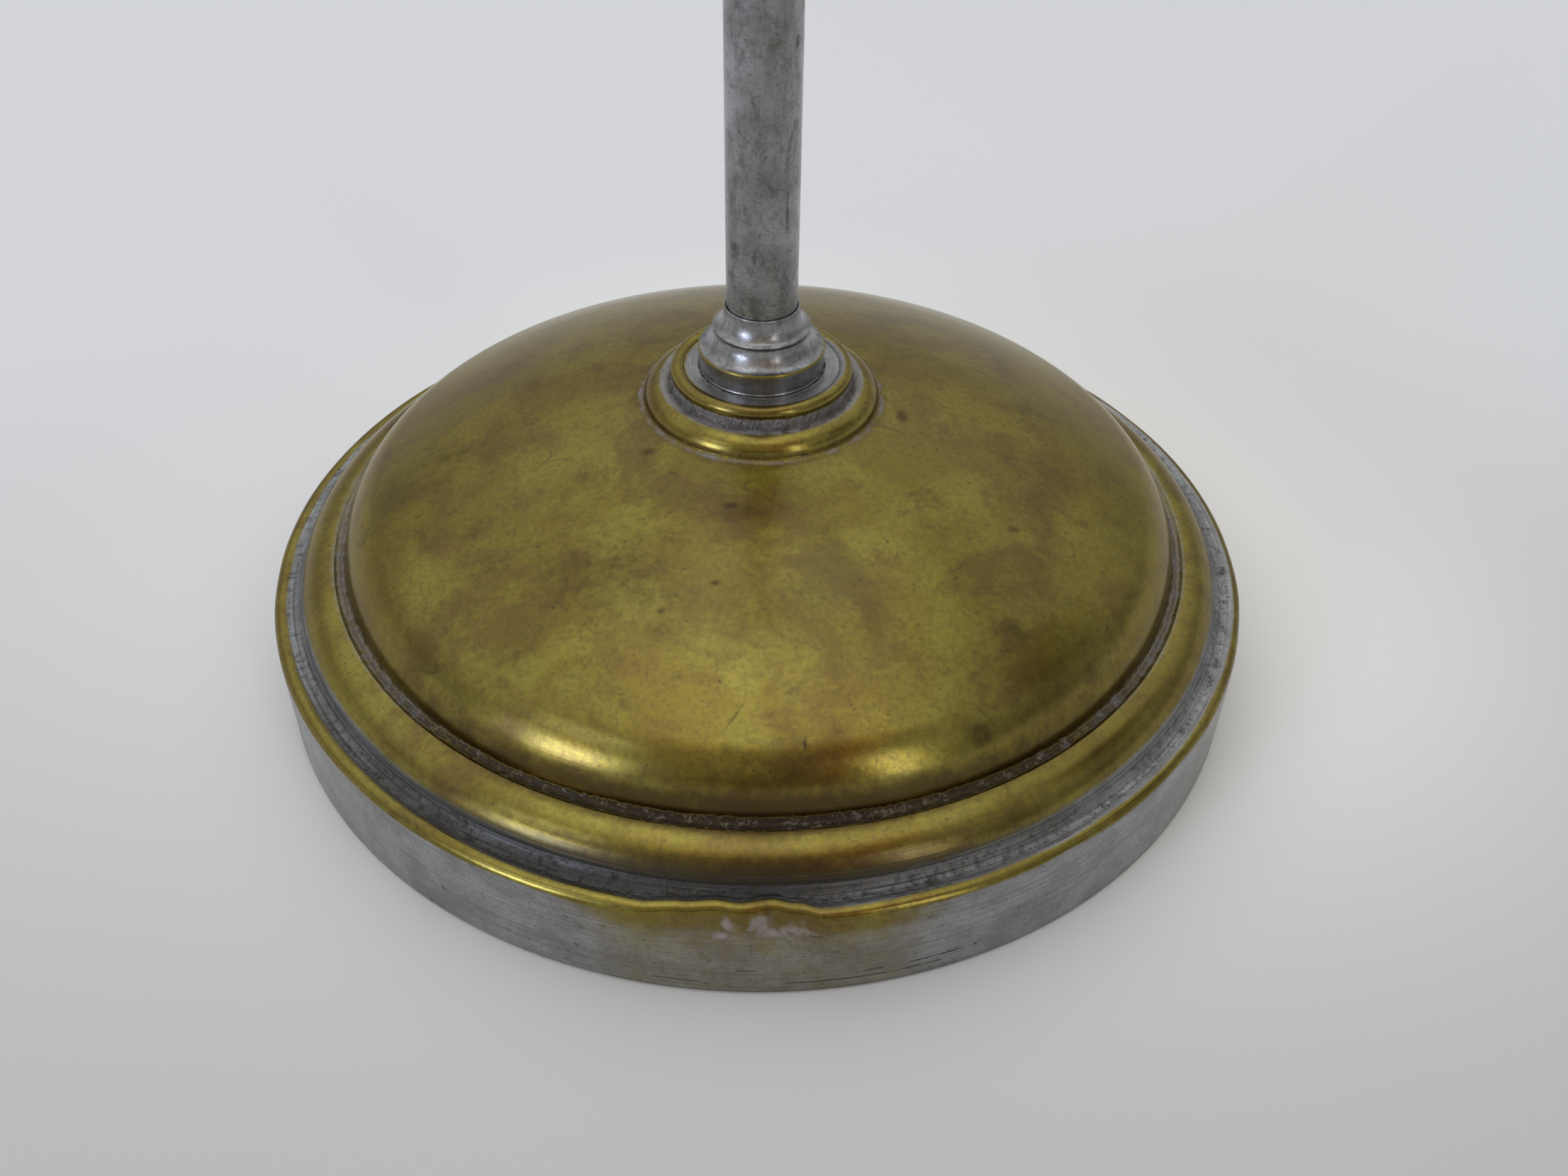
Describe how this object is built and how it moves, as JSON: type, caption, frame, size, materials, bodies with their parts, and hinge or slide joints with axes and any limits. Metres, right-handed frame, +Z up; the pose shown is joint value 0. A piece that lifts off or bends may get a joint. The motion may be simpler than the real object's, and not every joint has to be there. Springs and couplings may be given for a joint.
{
  "type": "articulated desk lamp",
  "caption": "Articulated desk lamp: weighted round domed base, tube stem that swivels, clamped knuckles with wing nuts, tube arm, keyed lampholder and dome shade.",
  "frame": {"origin": "centre of the base's underside, on the table and on the stem's axis", "axes": "+Z up along the stem, +X the way the arm leans, -Y the front, where the wing nuts and the switch key are"},
  "size_m": [0.4516, 0.1604, 0.3946],
  "materials": {
    "worn_brass": "satin brass with the nickel plating worn away, stained brown",
    "nickel": "dull nickel plate on brass, pitted",
    "brass": "turned brass, dull",
    "cast_iron": "rough",
    "steel": "plain",
    "felt": "matte felt",
    "fibre": "hard fibre",
    "black_plastic": "moulded, low gloss",
    "porcelain": "glazed",
    "glass": "clear"
  },
  "bodies": {
    "stand": {"base_shell": "worn_brass", "base_ballast": "cast_iron", "base_felt": "felt", "cord_bush": "black_plastic", "cord_bush_nut": "steel", "stem_washer": "steel", "stem_nut": "brass", "stem_tube": "nickel", "stem_collar": "nickel", "stem_ferrule": "nickel", "swivel_keeper_screw": "brass", "swivel_washer": "fibre"},
    "swivel": {"lower_knuckle_base": "nickel", "lower_friction_washer": "fibre", "lower_pivot_bolt": "brass"},
    "lower_wing": {"lower_wing_nut": "nickel"},
    "arm": {"lower_knuckle_arm": "nickel", "lower_cup_washer": "brass", "arm_tube": "nickel", "upper_knuckle_arm": "nickel", "upper_friction_washer": "fibre", "upper_pivot_bolt": "brass"},
    "upper_wing": {"upper_wing_nut": "nickel"},
    "head": {"upper_knuckle_head": "nickel", "upper_cup_washer": "brass", "holder_nipple": "brass", "nipple_nut": "brass", "holder_cap": "worn_brass", "holder_shell": "worn_brass", "holder_insulator": "porcelain", "terminal_screws": "brass", "holder_liner": "fibre", "screw_shell": "brass", "centre_contact": "brass", "contact_leaf": "brass", "key_bush": "black_plastic", "shade_gallery": "worn_brass", "gallery_lock_ring": "brass", "gallery_screws": "brass", "shade": "worn_brass", "bulb_glass": "glass", "bulb_cap": "brass", "bulb_contact": "black_plastic", "bulb_stem": "glass", "bulb_filament": "steel"},
    "key": {"switch_key": "black_plastic"}
  },
  "joints": [
    {"name": "stem_swivel", "type": "hinge", "parent": "stand", "child": "swivel", "pos_m": [0, 0, 0.3069], "axis": [0, 0, 1], "range_deg": [-170, 170]},
    {"name": "lower_tilt", "type": "hinge", "parent": "swivel", "child": "arm", "pos_m": [0, 0, 0.33], "axis": [0, 1, 0], "range_deg": [-180, 20]},
    {"name": "lower_wing_turn", "type": "hinge", "parent": "swivel", "child": "lower_wing", "pos_m": [0, -0.01, 0.33], "axis": [0, -1, 0], "range_deg": [0, 360]},
    {"name": "upper_tilt", "type": "hinge", "parent": "arm", "child": "head", "pos_m": [0.29544, 0, 0.38209], "axis": [0, 1, 0], "range_deg": [-235, 35]},
    {"name": "upper_wing_turn", "type": "hinge", "parent": "arm", "child": "upper_wing", "pos_m": [0.29544, -0.01, 0.38209], "axis": [0, -1, 0], "range_deg": [0, 360]},
    {"name": "key_turn", "type": "hinge", "parent": "head", "child": "key", "pos_m": [0.29544, -0.02, 0.32509], "axis": [0, -1, 0], "continuous": true}
  ]
}
